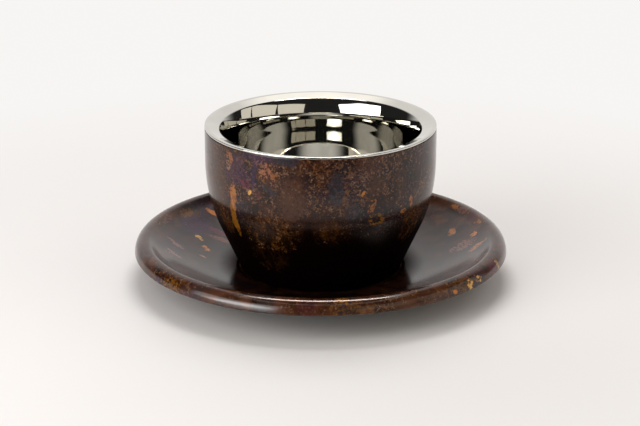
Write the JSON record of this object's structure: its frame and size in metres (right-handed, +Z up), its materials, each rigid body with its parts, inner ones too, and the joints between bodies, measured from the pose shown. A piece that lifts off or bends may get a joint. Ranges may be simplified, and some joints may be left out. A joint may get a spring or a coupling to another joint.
{
  "type": "cup with saucer",
  "caption": "Handleless double-walled metal tea cup with a polished steel liner and broad lip, resting in the well of a dished saucer with a rolled rim; both have a mottled brown patina.",
  "frame": {"origin": "centre of the saucer's foot ring, on the surface that it stands on", "axes": "+Z up along the axis of the cup and the saucer; X and Y are any two directions across it, because every shaped piece is round"},
  "size_m": [0.1304, 0.1304, 0.055],
  "materials": {
    "polished_steel": "mirror-polished stainless steel",
    "patina": "mottled dark brown patina with orange-gold flecks under a clear gloss lacquer",
    "bare_steel": "drawn stainless steel, satin",
    "seal": "solder glass"
  },
  "bodies": {
    "saucer": {"saucer_dish": "patina", "saucer_foot_ring": "patina"},
    "cup": {"inner_cup": "polished_steel", "outer_shell": "patina", "base_pan": "bare_steel", "port_seal": "seal", "getter": "bare_steel"}
  },
  "joints": [
    {"name": "cup_lift", "type": "slide", "parent": "saucer", "child": "cup", "axis": [0, 0, 1], "range_m": [0, 0.12]}
  ]
}
